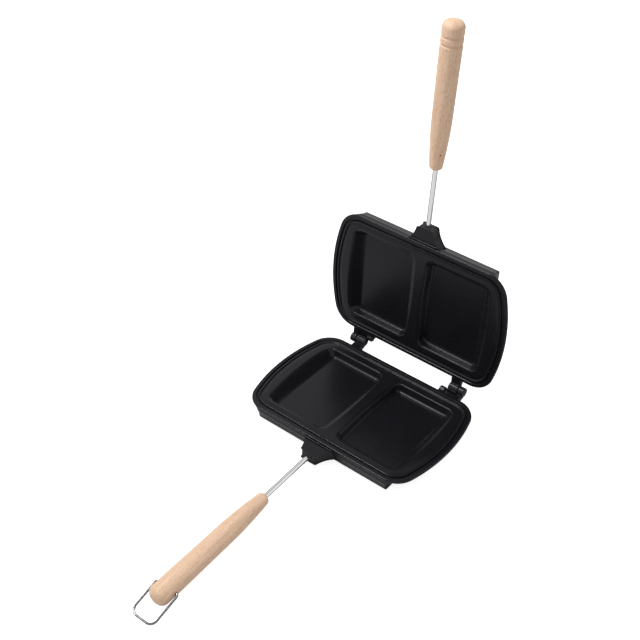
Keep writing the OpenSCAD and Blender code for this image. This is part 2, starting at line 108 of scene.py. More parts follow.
class PIEIRON_PG_sizes(PropertyGroup):
    """Sizes of the pans, the hinge, the rods, the handles and the bail."""
    pan_width: length("Pan width", 250, "Width of the rim at its bowed sides")
    pan_end_width: length("Pan end width", 219, "Width between the bowed sides at the front and back")
    pan_depth: length("Pan depth", 165, "From the front edge of the rim to the edge by the hinge")
    pan_corner: length("Pan corner radius", 29.5, "Radius of the rim's corners from above")
    pan_height: length("Pan height", 20, "From the underside to the meeting face")
    flange: length("Flange thickness", 3.6, "Thickness of the flange that carries the rim")
    base_width: length("Base width", 188.5, "Width of the flat underside")
    wall_lean: length("Wall lean", 4.2, "How far the front and back walls lean in to the underside")
    cove: length("Cove radius", 9, "Hollow blend between the side walls and the flange")
    rib: length("Rib width", 20, "Width of the rib between the pockets, at its ends")
    rib_bow: length("Rib bow", 2.5, "How much nearer the pockets are to the rib's middle half way")
    pocket_reach: length("Pocket reach", 99, "From the middle of the rib to a pocket's outer wall")
    pocket_lean: length("Pocket lean", 7.5, "How much nearer that wall is at the floor")
    pocket_bow: length("Pocket bow", 5.2, "How much nearer that wall is at its ends")
    pocket_length: length("Pocket length", 124, "Length of a pocket from front to back")
    pocket_depth: length("Pocket depth", 10, "Depth of a pocket below the field")
    pocket_corner: length("Pocket corner radius", 9, "Radius of a pocket's corners from above")
    bead_height: length("Bead height", 0.7, "Height of the sealing bead above the field")
    steam_gap: length("Steam gap", 6, "Width of the gap in the front of the bead")
    hinge_reach: length("Hinge reach", 14, "From the back of the rim to the hinge axis")
    knuckle: length("Knuckle radius", 6, "Radius of the hinge knuckles")
    lug_middle: length("Lug place", 70.5, "From the middle of the pan to the middle of the lug")
    lug_width: length("Lug width", 13, "Width of the single lug")
    heel_reach: length("Heel reach", 8, "Reach of the lug's stop beyond the hinge axis")
    ear_width: length("Ear width", 8, "Width of the tall outer ear")
    cheek_width: length("Cheek width", 8, "Width of the low inner cheek")
    cheek_reach: length("Cheek reach", 10, "How far the low cheek reaches behind the rim")
    cheek_rise: length("Cheek rise", 1.6, "Height of the low cheek above the meeting face")
    arm_depth: length("Arm depth", 10, "Depth of the hinge arms where they leave the pan")
    lug_play: length("Lug play", 0.5, "Free play on each side of the lug")
    closed_gap: length("Closed gap", 0.4, "Gap between the rims when the iron is shut")
    hinge_pin: length("Hinge pin", 4, "Diameter of the hinge pins")
    rod: length("Rod diameter", 6, "Diameter of the steel rods")
    rod_show: length("Rod length", 78, "Rod between a boss and its handle")
    rod_seat: length("Rod seat", 18, "Depth of the rod in the boss")
    rod_in_wood: length("Rod in the wood", 60, "Depth of the rod in the handle")
    rod_drop: length("Rod drop", 9.4, "Depth of the rod's axis below the meeting face")
    lower_lean: angle("Lower lean", 2.25, "Angle at which the lower rod leaves its pan")
    upper_lean: angle("Upper lean", 0.1, "Angle at which the upper rod leaves its pan")
    boss_reach: length("Boss reach", 18.7, "From the rim to the end of the boss")
    boss_root: length("Boss root", 46, "Width of the boss at the wall")
    boss_tip: length("Boss tip", 20, "Width of the boss at its end")
    boss_side: length("Boss side radius", 38, "Hollow curve down each side of the boss")
    boss_step: length("Boss step", 2.4, "From the meeting face down to the boss")
    boss_lift: length("Boss lift", 3.8, "From the pan's underside up to the boss")
    lock_pin: length("Lock pin", 3, "Diameter of the pin that locks a rod in its boss")
    lock_pin_back: length("Lock pin place", 10, "From the end of the boss to the lock pin")
    handle_length: length("Handle length", 174, "Length of a wooden handle")
    groove_depth: length("Groove depth", 1.4, "Depth of the grooves before the knob")
    groove_back: length("Groove place", 18, "From the handle's end to the groove for the bail")
    groove_pitch: length("Groove pitch", 8.7, "Distance between the two grooves")
    brad: length("Brad", 2, "Diameter of the brad that keeps a handle on")
    brad_back: length("Brad place", 21, "From the handle's front end to the brad")
    brad_angle: angle("Brad angle", 51, "Angle of the brad round the handle")
    wire: length("Bail wire", 2.5, "Diameter of the bail's wire")
    bail_width: length("Bail width", 28, "Clear width between the bail's legs")
    bail_corner: length("Bail corner", 8.3, "Radius of the bail's far corners")
    bail_hook: length("Bail hook", 3, "Radius of the bends into the handle")
    bail_hold: length("Bail hold", 8, "Length of wire in each side of the handle")
    bail_back: length("Bail place", 20, "From the handle's end to the bail's hole")


class PIEIRON_PG_finishes(PropertyGroup):
    """Colours and gloss of the coat, the wood and the steel."""
    coat: colour("Coat", (0.0056, 0.0053, 0.0068), "Non-stick coat on the castings")
    coat_pale: colour("Coat, paler", (0.0078, 0.0074, 0.0094), "Paler patches in the coat")
    coat_rough: amount("Coat roughness", 0.25, "Roughness of the coat")
    beech: colour("Beech", (0.775, 0.545, 0.385), "Pale wood between the flecks")
    beech_deep: colour("Beech, deeper", (0.615, 0.400, 0.268), "Darker growth bands in the wood")
    beech_fleck: colour("Beech flecks", (0.420, 0.250, 0.150), "The short dark flecks in the wood")
    steel: colour("Steel", (0.860, 0.860, 0.865), "Bright steel of the rods")
    wire_steel: colour("Wire steel", (0.220, 0.220, 0.228), "Darker steel of the bail")
    pin_steel: colour("Pin steel", (0.220, 0.175, 0.140), "Browned steel of the pins and brads")
    backdrop: colour("Backdrop", (1.0, 1.0, 1.0), "Floor and background as the camera sees them")


def measures(context):
    """The lengths in millimetres and the angles in radians, by name."""
    group = context.scene.pie_iron_sizes
    found = {}
    for key in PIEIRON_PG_sizes.__annotations__:
        rna = group.bl_rna.properties[key]
        found[key] = getattr(group, key) / (MM if rna.unit == "LENGTH" else 1.0)
    return type("Measures", (), found)


def hinge_point(m):
    return Vector((0.0, m.pan_depth / 2 + m.hinge_reach, m.closed_gap / 2))


def standing(m):
    """From the lower casting's own frame to the row frame."""
    return (Matrix.Translation(HINGE_AT) @ Matrix.Rotation(-STANCE, 4, "X")
            @ Matrix.Scale(MM, 4) @ Matrix.Translation(-hinge_point(m)))


def opened(m):
    """From the upper casting's own frame, turned over and swung open, to the row frame."""
    turned = Matrix.Translation(Vector((0.0, 0.0, m.closed_gap))) @ Matrix.Rotation(math.pi, 4, "Y")
    return (Matrix.Translation(HINGE_AT) @ Matrix.Rotation(-STANCE - OPEN_ANGLE, 4, "X")
            @ Matrix.Scale(MM, 4) @ Matrix.Translation(-hinge_point(m)) @ turned)


def on_rod(m, lean):
    """Z runs out along the rod from the end of the boss, and Y points to the meeting face."""
    end = Vector((0.0, -m.pan_depth / 2 - m.boss_reach, -m.rod_drop))
    return Matrix.Translation(end) @ Matrix.Rotation(math.pi / 2 + lean, 4, "X")


def sides(m):
    """Each side's name, its casting's place and the angle at which its rod leaves it."""
    return ("lower", standing(m), m.lower_lean), ("upper", opened(m), m.upper_lean)


# ---- outlines: closed lists of 2-D points, anticlockwise ----

def arc(centre, radius, start, end, steps, first=0):
    turns = [start + (end - start) * k / steps for k in range(first, steps + 1)]
    return [Vector((centre[0] + radius * math.cos(t), centre[1] + radius * math.sin(t))) for t in turns]


def flipped(points, x=1, y=1):
    return [Vector((p.x * x, p.y * y)) for p in points]


def soften(corners, steps=4):
    """Rounds each corner (x, y, radius) of an outline."""
    made = []
    for k, (x, y, radius) in enumerate(corners):
        here = Vector((x, y))
        if radius <= 0:
            made.append(here)
            continue
        back = Vector(corners[k - 1][:2]) - here
        on = Vector(corners[(k + 1) % len(corners)][:2]) - here
        half = back.angle(on) / 2
        run = min(radius / math.tan(half), 0.49 * back.length, 0.49 * on.length)
        radius = run * math.tan(half)
        centre = here + (back.normalized() + on.normalized()).normalized() * radius / math.sin(half)
        first = here + back.normalized() * run - centre
        last = here + on.normalized() * run - centre
        start = math.atan2(first.y, first.x)
        turn = math.atan2(first.x * last.y - first.y * last.x, first.dot(last))
        made += arc(centre, radius, start, start + turn, steps)
    return made


def inset_by(outline, distance):
    """The same outline, each point moved inwards by a distance."""
    made = []
    for k, here in enumerate(outline):
        back = (here - outline[k - 1]).normalized()
        on = (outline[(k + 1) % len(outline)] - here).normalized()
        inward = Vector((-back.y - on.y, back.x + on.x)).normalized()
        made.append(here + inward * distance / max(inward.dot(Vector((-back.y, back.x))), 0.3))
    return made


def rim_outline(m):
    """Bowed sides, rounded corners and straight ends, with points at both sides of the steam gap."""
    side_steps, corner_steps = 14, 18
    sag = (m.pan_width - m.pan_end_width) / 2
    half = m.pan_depth / 2
    side = (sag * sag + half * half) / (2 * sag)
    side_x = m.pan_width / 2 - side
    corner_y = half - m.pan_corner
    corner_x = side_x + math.sqrt((side - m.pan_corner) ** 2 - corner_y ** 2)
    lean = math.atan2(corner_y, corner_x - side_x)
    quarter = (arc((side_x, 0), side, 0, lean, side_steps)
               + arc((corner_x, corner_y), m.pan_corner, lean, math.pi / 2, corner_steps, 1))
    back = [Vector((corner_x * k / 4, half)) for k in (3, 2, 1, 0, -1, -2, -3)]
    by_gap = [m.steam_gap / 2 + GAP_RAMP / 2 * k for k in (-1, 0, 1, 2)]
    front_x = by_gap + [corner_x * k for k in (0.25, 0.5, 0.75)]
    front = [Vector((x, -half)) for x in [-x for x in reversed(front_x)] + [0] + front_x]
    left = flipped(quarter, x=-1)
    return (quarter + back + left[::-1] + flipped(left, y=-1)[1:]
            + front + flipped(quarter, y=-1)[:0:-1])


def pocket_outline(m, drop=0.0):
    """A pocket on the +X side at a depth below the field. Its sides are bowed, less so lower down."""
    half = m.pocket_length / 2
    down = drop / m.pocket_depth
    outer_bow = m.pocket_bow * (1 - BOW_LOSS * down)
    bow = (outer_bow ** 2 + half ** 2) / (2 * outer_bow)
    reach = m.pocket_reach - m.pocket_lean * down
    r = m.pocket_corner
    cy = half - r
    cx = reach - bow + math.sqrt((bow - r) ** 2 - cy ** 2)
    lean = math.atan2(cy, cx - reach + bow)
    inner = (m.rib_bow ** 2 + half ** 2) / (2 * m.rib_bow)
    inner_x = m.rib / 2 - m.rib_bow + inner
    ix = inner_x - math.sqrt((inner - r) ** 2 - cy ** 2)
    turn = math.atan2(cy, inner_x - ix)
    top = (arc((reach - bow, 0), bow, 0, lean, 8) + arc((cx, cy), r, lean, math.pi / 2, 10, 1)
           + arc((ix, cy), r, math.pi / 2, math.pi - turn, 10)
           + arc((inner_x, 0), inner, math.pi - turn, math.pi, 6, 1))
    return top + flipped(top[1:-1], y=-1)[::-1]


def boss_outline(m):
    """From the wall down both hollow sides to the boss's rounded end."""
    front = -m.pan_depth / 2
    root = Vector((m.boss_root / 2, front + m.wall_lean))
    tip = Vector((m.boss_tip / 2, front - m.boss_reach))
    chord = tip - root
    out = Vector((-chord.y, chord.x)).normalized()
    centre = (root + tip) / 2 + out * math.sqrt(m.boss_side ** 2 - chord.length_squared / 4)
    first, last = root - centre, tip - centre
    start = math.atan2(first.y, first.x)
    turn = math.atan2(first.x * last.y - first.y * last.x, first.dot(last))
    side = arc(centre, m.boss_side, start, start + turn, 12)[:-1]
    corner = 2.2
    end = soften([(side[-1].x, side[-1].y, 0), (tip.x, tip.y, corner), (0, tip.y, 0)])[:-1]
    right = side + end[1:]
    inner = 3.0
    return ([Vector((right[0].x, right[0].y + inner)), *right][::-1]
            + [Vector((-right[0].x, right[0].y + inner)), *flipped(right, x=-1)])[::-1]


# ---- bmesh helpers ----

def loop_edges(bm, ring):
    return [bm.edges.get((a, b)) for a, b in zip(ring, ring[1:] + ring[:1])]


def start_ring(bm, points):
    """A closed ring of points, from a circle."""
    ring = bmesh.ops.create_circle(bm, segments=len(points), radius=1.0)["verts"]
    for vert, point in zip(ring, points):
        vert.co = point
    return ring


def grow(bm, ring, points):
    """Extrudes a ring, and puts the new ring's points in their places."""
    made = bmesh.ops.extrude_edge_only(bm, edges=loop_edges(bm, ring))["geom"]
    fresh = {v for v in made if isinstance(v, bmesh.types.BMVert)}
    on = [next(e.other_vert(v) for e in v.link_edges if e.other_vert(v) in fresh) for v in ring]
    for vert, point in zip(on, points):
        vert.co = point
    return on


def close(bm, ring):
    bmesh.ops.edgeloop_fill(bm, edges=loop_edges(bm, ring))


def at_height(outline, z):
    return [Vector((p.x, p.y, z)) for p in outline]


def soft_slab(bm, outline, low, high, soft, place=None, steps=4):
    """A slab of an outline whose two ends have rounded edges."""
    turns = [math.pi / 2 * k / steps for k in range(steps + 1)]
    rows = ([(soft * (1 - math.sin(t)), low + soft * (1 - math.cos(t))) for t in turns]
            + [(soft * (1 - math.cos(t)), high - soft * (1 - math.sin(t))) for t in turns])
    place = place or Matrix.Identity(4)
    ring = None
    for inset, z in rows:
        points = [place @ p for p in at_height(inset_by(outline, inset), z)]
        if ring is None:
            ring = start_ring(bm, points)
            close(bm, ring)
        else:
            ring = grow(bm, ring, points)
    close(bm, ring)


# A side view's outline (Y, Z) is drawn along X.
SIDE_VIEW = Matrix(((0, 0, 1, 0), (1, 0, 0, 0), (0, 1, 0, 0), (0, 0, 0, 1)))


def trace(bm, points):
    """Draws a line through the points by extruding one vertex along them."""
    tip = bmesh.ops.create_vert(bm, co=points[0])["vert"][0]
    for point in points[1:]:
        tip = bmesh.ops.extrude_vert_indiv(bm, verts=[tip])["verts"][0]
        tip.co = point


def turned(profile, steps):
    """Turns a profile of (radius, distance along Z) into a solid."""
    bm = bmesh.new()
    trace(bm, [Vector((r, 0.0, z)) for r, z in profile])
    bmesh.ops.spin(bm, geom=bm.verts[:] + bm.edges[:], cent=(0, 0, 0), axis=(0, 0, 1), dvec=(0, 0, 0),
                   angle=ROUND, steps=steps, use_merge=True, use_normal_flip=False, use_duplicate=False)
    return bm


def plain_bar(radius, low, high, ease):
    """The profile of a bar with broken edges, from one end to the other."""
    return [(0, low), (radius - ease, low), (radius, low + ease), (radius, high - ease),
            (radius - ease, high), (0, high)]


def in_scene(name, data):
    made = bpy.data.objects.new(name, data)
    bpy.context.scene.collection.objects.link(made)
    return made


def new_object(name, bm, place):
    """Puts the piece's place in its mesh, in metres, with all faces outwards."""
    bmesh.ops.remove_doubles(bm, verts=bm.verts, dist=MERGE)
    bmesh.ops.transform(bm, matrix=place, verts=bm.verts)
    bmesh.ops.recalc_face_normals(bm, faces=bm.faces)
    mesh = bpy.data.meshes.new(name)
    bm.to_mesh(mesh)
    bm.free()
    return in_scene(name, mesh)


def cut(piece, cutters):
    """Takes the cutters out of the piece, for good."""
    for cutter in cutters:
        boolean = piece.modifiers.new("Hole", "BOOLEAN")
        boolean.operation = "DIFFERENCE"
        boolean.solver = "EXACT"
        boolean.object = cutter
    graph = bpy.context.evaluated_depsgraph_get()
    drilled = bpy.data.meshes.new_from_object(piece.evaluated_get(graph))
    piece.modifiers.clear()
    undrilled = piece.data
    piece.data = drilled
    drilled.name = piece.name
    bpy.data.meshes.remove(undrilled)
    for cutter in cutters:
        bpy.data.meshes.remove(cutter.data)


def dress(piece, material, body, node, sharp=40.0):
    """Smooth shading that keeps the flats flat, a material, a body to ride on and the node replaced."""
    mesh = piece.data
    mesh.materials.clear()
    mesh.materials.append(material)
    mesh.shade_smooth()
    mesh.set_sharp_from_angle(angle=math.radians(sharp))
    even = piece.modifiers.new("Even shading", "WEIGHTED_NORMAL")
    even.keep_sharp = True
    even.weight = 80
    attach(piece, body)
    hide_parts(node)


# ---- materials ----

def add(tree, kind, settings=None, **inputs):
    made = tree.nodes.new(kind)
    for key, value in (settings or {}).items():
        setattr(made, key, value)
    for key, value in inputs.items():
        made.inputs[key.replace("_", " ")].default_value = value
    return made


def new_group(name, inputs, outputs):
    """An empty node group with its sockets, its input node and its output node."""
    tree = bpy.data.node_groups.new(name, "ShaderNodeTree")
    tree.interface.new_socket("Vector", in_out="INPUT", socket_type="NodeSocketVector")
    for socket in (*inputs, *outputs):
        way = "INPUT" if socket in inputs else "OUTPUT"
        tree.interface.new_socket(socket, in_out=way, socket_type="NodeSocketFloat")
    return tree, add(tree, "NodeGroupInput"), add(tree, "NodeGroupOutput")


def unevenness_group():
    """Fine noise over broad noise: a height for bumps, and a mask of wide soft patches."""
    name = "Fine unevenness"
    if name in bpy.data.node_groups:
        return bpy.data.node_groups[name]
    tree, inside, outside = new_group(name, ("Grain scale", "Patch scale"), ("Height", "Patches"))
    grain = add(tree, "ShaderNodeTexNoise", Detail=3.0, Roughness=0.6)
    patches = add(tree, "ShaderNodeTexNoise", Detail=4.0, Roughness=0.55)
    for noise, scale in ((grain, "Grain scale"), (patches, "Patch scale")):
        tree.links.new(inside.outputs["Vector"], noise.inputs["Vector"])
        tree.links.new(inside.outputs[scale], noise.inputs["Scale"])
    tree.links.new(grain.outputs["Fac"], outside.inputs["Height"])
    tree.links.new(patches.outputs["Fac"], outside.inputs["Patches"])
    return tree


def wood_group():
    """Beech: growth bands and short flecks along Z, with the pores as a height."""
    name = "Beech grain"
    if name in bpy.data.node_groups:
        return bpy.data.node_groups[name]
    tree, inside, outside = new_group(name, (), ("Bands", "Flecks", "Height"))

    def stretched(scale, **noise):
        mapping = add(tree, "ShaderNodeMapping", Scale=scale)
        texture = add(tree, "ShaderNodeTexNoise", Scale=1.0, **noise)
        tree.links.new(inside.outputs["Vector"], mapping.inputs["Vector"])
        tree.links.new(mapping.outputs["Vector"], texture.inputs["Vector"])
        return texture.outputs["Fac"]

    def ramp(value, low, high):
        mapped = add(tree, "ShaderNodeMapRange", {"clamp": True}, From_Min=low, From_Max=high)
        tree.links.new(value, mapped.inputs["Value"])
        return mapped.outputs["Result"]

    broad = stretched((210, 210, 14), Detail=3.0, Roughness=0.5, Distortion=0.3)
    fibres = stretched((1500, 1500, 70), Detail=2.0, Roughness=0.5)
    dashes = stretched((1250, 1250, 330), Detail=1.0, Roughness=0.4)
    bands = add(tree, "ShaderNodeMath", {"operation": "MULTIPLY_ADD"})
    bands.inputs[1].default_value = 0.35
    tree.links.new(ramp(fibres, 0.35, 0.65), bands.inputs[0])
    tree.links.new(ramp(broad, 0.38, 0.95), bands.inputs[2])
    flecks = ramp(dashes, 0.57, 0.70)
    height = add(tree, "ShaderNodeMath", {"operation": "SUBTRACT"})
    tree.links.new(fibres, height.inputs[0])
    tree.links.new(flecks, height.inputs[1])
    tree.links.new(bands.outputs[0], outside.inputs["Bands"])
    tree.links.new(flecks, outside.inputs["Flecks"])
    tree.links.new(height.outputs[0], outside.inputs["Height"])
    return tree


def new_material(name):
    """A material with its Principled BSDF, its tree and its Object coordinates."""
    made = bpy.data.materials.new(name)
    made.use_nodes = True
    tree = made.node_tree
    where = add(tree, "ShaderNodeTexCoord")
    return made, tree, tree.nodes["Principled BSDF"], where.outputs["Object"]


def uneven(tree, where, grain, patch):
    group = add(tree, "ShaderNodeGroup", {"node_tree": unevenness_group()})
    group.inputs["Grain scale"].default_value = grain
    group.inputs["Patch scale"].default_value = patch
    tree.links.new(where, group.inputs["Vector"])
    return group


def spread(tree, value, socket, low, high, start=0.3, end=0.7):
    """Drives a socket between two values by a mask."""
    made = add(tree, "ShaderNodeMapRange", {"clamp": True}, From_Min=start, From_Max=end,
               To_Min=low, To_Max=high)
    tree.links.new(value, made.inputs["Value"])
    tree.links.new(made.outputs["Result"], socket)


def mixed(tree, mask, a, b):
    """A colour between a and b by a mask. Each is a colour or another node's output."""
    mix = add(tree, "ShaderNodeMix", {"data_type": "RGBA", "clamp_factor": True})
    tree.links.new(mask, mix.inputs["Factor"])
    for socket, value in ((mix.inputs[6], a), (mix.inputs[7], b)):
        if isinstance(value, bpy.types.NodeSocket):
            tree.links.new(value, socket)
        else:
            socket.default_value = (*value, 1.0)
    return mix.outputs[2]


def bump(tree, height, shader, strength, distance):
    made = add(tree, "ShaderNodeBump", Strength=strength, Distance=distance)
    tree.links.new(height, made.inputs["Height"])
    tree.links.new(made.outputs["Normal"], shader.inputs["Normal"])


def coat_material(finishes):
    """Sprayed non-stick coat on a casting: nearly black, satin, very finely pebbled."""
    made, tree, shader, where = new_material("Non-stick coat")
    group = uneven(tree, where, 1100.0, 14.0)
    tree.links.new(mixed(tree, group.outputs["Patches"], finishes.coat, finishes.coat_pale),
                   shader.inputs["Base Color"])
    rough = finishes.coat_rough
    spread(tree, group.outputs["Patches"], shader.inputs["Roughness"], rough - 0.04, rough + 0.05)
    shader.inputs["Specular IOR Level"].default_value = 0.2
    shader.inputs["Specular Tint"].default_value = (0.93, 0.91, 1.0, 1.0)
    bump(tree, group.outputs["Height"], shader, 0.05, 0.00012)
    return made


def beech_material(name, finishes, turn, seed):
    """Oiled beech whose grain runs along the handle. turn takes the handle's axis to Z."""
    made, tree, shader, where = new_material(name)
    mapping = add(tree, "ShaderNodeMapping", Location=seed, Rotation=turn)
    grain = add(tree, "ShaderNodeGroup", {"node_tree": wood_group()})
    tree.links.new(where, mapping.inputs["Vector"])
    tree.links.new(mapping.outputs["Vector"], grain.inputs["Vector"])
    banded = mixed(tree, grain.outputs["Bands"], finishes.beech, finishes.beech_deep)
    strength = add(tree, "ShaderNodeMath", {"operation": "MULTIPLY"})
    strength.inputs[1].default_value = 0.55
    tree.links.new(grain.outputs["Flecks"], strength.inputs[0])
    tree.links.new(mixed(tree, strength.outputs[0], banded, finishes.beech_fleck),
                   shader.inputs["Base Color"])
    spread(tree, grain.outputs["Height"], shader.inputs["Roughness"], 0.46, 0.58)
    shader.inputs["Specular IOR Level"].default_value = 0.35
    bump(tree, grain.outputs["Height"], shader, 0.15, 0.0001)
    return made


def steel_material(name, tone, low, high, grain=900.0):
    """Drawn steel whose gloss changes over its length, with painted shade at its edges: the colour
    darkens where the surface turns from the camera, standing in for dark reflections.
    """
    made, tree, shader, where = new_material(name)
    group = uneven(tree, where, grain, 60.0)
    dull = tuple(channel * 0.9 for channel in tone)
    # Painted shade: by the facing weight, the colour goes towards a much darker tone at the edges,
    # standing in for dark reflections.
    edge = tuple(channel * 0.15 for channel in tone)
    edge_shade_weight = add(tree, "ShaderNodeLayerWeight", Blend=0.5)
    rim = add(tree, "ShaderNodeMapRange", {"clamp": True}, From_Min=0.25, From_Max=0.6)
    face = mixed(tree, group.outputs["Patches"], tuple(tone), dull)
    tree.links.new(edge_shade_weight.outputs["Facing"], rim.inputs["Value"])
    tree.links.new(mixed(tree, rim.outputs["Result"], face, edge), shader.inputs["Base Color"])
    shader.inputs["Metallic"].default_value = 1.0
    spread(tree, group.outputs["Patches"], shader.inputs["Roughness"], low, high)
    bump(tree, group.outputs["Height"], shader, 0.05, 0.00004)
    return made


# ---- operators, one for each kind of piece ----

class PIEIRON_OT_pans(Operator):
    """Make the two cast pans with their pockets, sealing beads, bosses and hinge parts"""
    bl_idname = "pie_iron.make_pans"
    bl_label = "Pans"

    LIP = ((0.8, -3.6), (0.25, -3.35), (0.0, -2.8), (0.0, -1.7), (0.12, -1.1), (0.42, -0.55),
           (0.95, -0.15), (1.7, 0.0), (4.1, 0.0), (4.8, -0.16), (5.2, -0.7), (5.5, -1.6),
           (6.0, -2.1), (7.2, -2.1), (7.6, -1.7), (7.9, -0.9), (8.2, -0.25), (8.8, 0.0),
           (9.3, 0.0), (9.8, -0.25), (10.2, -0.75), (10.6, -1.2), (11.2, -1.35), (12.2, -1.2),
           (13.6, -0.88), (15.2, -0.7))

    def shell(self, m, bm):
        rim = rim_outline(m)
        field = -m.bead_height
        lowest = -m.pan_height
        base_x, base_y, base_r = m.base_width / 2, m.pan_depth / 2 - m.wall_lean, 1.6

        def on_base(point, z):
            """The nearest point of the tub's wall at a height, and the way out from it."""
            lean = m.wall_lean * (z - lowest) / m.pan_height
            inner = Vector((min(max(point.x, base_r - base_x), base_x - base_r),
                            min(max(point.y, base_r - base_y - lean), base_y + lean - base_r)))
            out = (point - inner).normalized()
            return inner + out * base_r, out

        ring = None
        edge, ease = 0.8, 6.0
        turns = [math.pi / 2 * k / 4 for k in range(5)]
        rows = [(-edge * (1 - math.sin(t)), lowest + edge * (1 - math.cos(t))) for t in turns]
        rows += [(0.0, -m.flange - m.cove)]
        turns = [math.pi / 2 * k / 8 for k in range(1, 9)]
        rows += [(m.cove * (1 - math.cos(t)), -m.flange - m.cove + m.cove * math.sin(t)) for t in turns]
        for out_by, z in rows:
            points = []
            for point in inset_by(rim, self.LIP[0][0]):
                wall, out = on_base(point, z)
                room = (point - wall).dot(out)
                points.append((wall + out * min(out_by, max(room, 0.0))).to_3d() + Vector((0, 0, z)))
            if ring is None:
                ring = start_ring(bm, points)
                close(bm, ring)
            else:
                ring = grow(bm, ring, points)

        for inset, z in self.LIP:
            points = []
            for point, moved in zip(rim, inset_by(rim, inset)):
                # The front and back of the lip lean with the wall below them, but its sides don't.
                end = min(max((base_x + ease - abs(point.x)) / ease, 0.0), 1.0)
                lean = end * m.wall_lean * -z / m.pan_height
                deepest = m.pan_depth / 2 - lean
                moved.y = min(max(moved.y, -deepest), deepest)
                height = z
                if point.y < 0 and z > field and inset > CHANNEL:
                    past_gap = abs(point.x) - m.steam_gap / 2 + GAP_RAMP / 2
                    shut = min(max(past_gap / GAP_RAMP, 0.0), 1.0)
                    height = field + (z - field) * shut
                points.append(moved.to_3d() + Vector((0, 0, height)))
            ring = grow(bm, ring, points)
        return ring

    def pockets(self, m, bm, outer):
        floor = -m.bead_height - m.pocket_depth
        top = -m.bead_height
        ledge = 0.5                     # flat run before and after a wall, for its shading
        crisp_from, fade = 16.0, 12.0   # how far from its back end a pocket's walls turn crisp

        def wall(edge, brow, foot, steep):
            """Rows of (inset, height) down a wall, from its rounded brow to its rounded foot."""
            rows = [(edge - ledge, top), (edge, top)]
            rows += [(edge + brow * math.sin(steep * k / 6), top - brow * (1 - math.cos(steep * k / 6)))
                     for k in range(1, 7)]
            drop = rows[-1][1] - (floor + foot * (1 - math.cos(steep)))
            end = rows[-1][0] + drop / math.tan(steep)
            rows += [(end + foot * (math.sin(steep) - math.sin(steep * k / 6)),
                      floor + foot * (1 - math.cos(steep * k / 6))) for k in range(6, -1, -1)]
            return rows + [(rows[-1][0] + ledge, floor)]

        soft = wall(-3.2, 5.2, 4.4, math.radians(64))
        crisp = wall(-0.3, 1.9, 2.6, math.radians(78))
        edges = loop_edges(bm, outer)
        for side in (1, -1):
            ring = None
            for (wide, high), (tight, low) in zip(soft, crisp):
                soft_ring = inset_by(pocket_outline(m, max(top - high, 0.0)), wide)
                crisp_ring = inset_by(pocket_outline(m, max(top - low, 0.0)), tight)
                points = []
                for a, b in zip(soft_ring, crisp_ring):
                    by_hinge = min(max((a.y - m.pocket_length / 2 + crisp_from) / fade, 0.0), 1.0)
                    at = a.lerp(b, by_hinge)
                    points.append(Vector((side * at.x, at.y, high + (low - high) * by_hinge)))
                if ring is None:
                    ring = start_ring(bm, points)
                    edges += loop_edges(bm, ring)
                else:
                    ring = grow(bm, ring, points)
            close(bm, ring)
        bmesh.ops.triangle_fill(bm, use_beauty=True, use_dissolve=False, edges=edges, normal=(0, 0, 1))

    def boss(self, m, bm):
        soft_slab(bm, boss_outline(m), -m.pan_height + m.boss_lift, -m.boss_step, 1.4)
        # a ridge across the root of the boss, with a groove between it and the rim
        half, near, far = 19.5, -m.pan_depth / 2 - 0.8, -m.pan_depth / 2 - 2.7
        sunk, rise, soft = 1.5, 1.7, 0.8
        ridge = soften([(-half, far, soft), (half, far, soft), (half, near, soft), (-half, near, soft)])
        soft_slab(bm, ridge, -m.boss_step - sunk, -m.boss_step + rise, soft)

    def hinge(self, m, bm):
        back = m.pan_depth / 2
        y, z = back + m.hinge_reach, m.closed_gap / 2
        slack = 0.4                     # room round the rim and round the other pan's knuckle
        root, meet = back - m.wall_lean, back + slack
        r = m.knuckle
        lug_in, lug_out = m.lug_middle - m.lug_width / 2, m.lug_middle + m.lug_width / 2
        ear_in = lug_out + m.lug_play
        ear_out = ear_in + m.ear_width
        cheek_out = lug_in - m.lug_play
        cheek_in = cheek_out - m.cheek_width
        stop = y - r - slack
        barrel = arc((y, z), r, math.radians(-100), math.radians(160), 24)
        under = soften([(root, -m.arm_depth, 0), (meet, -m.arm_depth, 1.5),
                        (barrel[0].x, barrel[0].y, 0)])[1:-1]
        neck = Vector((y - r - slack / 2, -0.5))
        arm = ([Vector((root, -slack)), Vector((root, -m.arm_depth))] + under
               + barrel + [neck, Vector((meet, -slack))])
        soft_slab(bm, arm, ear_in, ear_out, 0.9, SIDE_VIEW)
        soft_slab(bm, arm, -lug_out, -lug_in, 0.9, SIDE_VIEW)
        top = r + 0.35
        slope = math.tan(OPEN_ANGLE - math.pi / 2)
        heel = soften([(y, z, 0), (y + m.heel_reach, z, 1.5),
                       (y + m.heel_reach, z + top - m.heel_reach * slope, 0.8), (y, z + top, 0.5)])
        soft_slab(bm, heel, -lug_out, -lug_in, 0.5, SIDE_VIEW)
        web = soften([(root, -0.6, 0), (root, -m.arm_depth, 0), (stop, -m.arm_depth, 1.2),
                      (stop, -2.0, 1.5), (meet, -0.8, 0.8)])
        soft_slab(bm, web, cheek_in, ear_out - 0.5, 0.4, SIDE_VIEW)
        cheek_r = (m.cheek_reach - slack) / 2 - slack
        low = (back + m.cheek_reach - cheek_r, m.cheek_rise - cheek_r)
        cheek = ([Vector((root, -r)), Vector((back + m.cheek_reach, -r))]
                 + arc(low, cheek_r, 0, math.radians(140), 12)
                 + [Vector((meet, -slack)), Vector((root, -slack))])
        soft_slab(bm, cheek, cheek_in, cheek_out, 1.4, SIDE_VIEW)

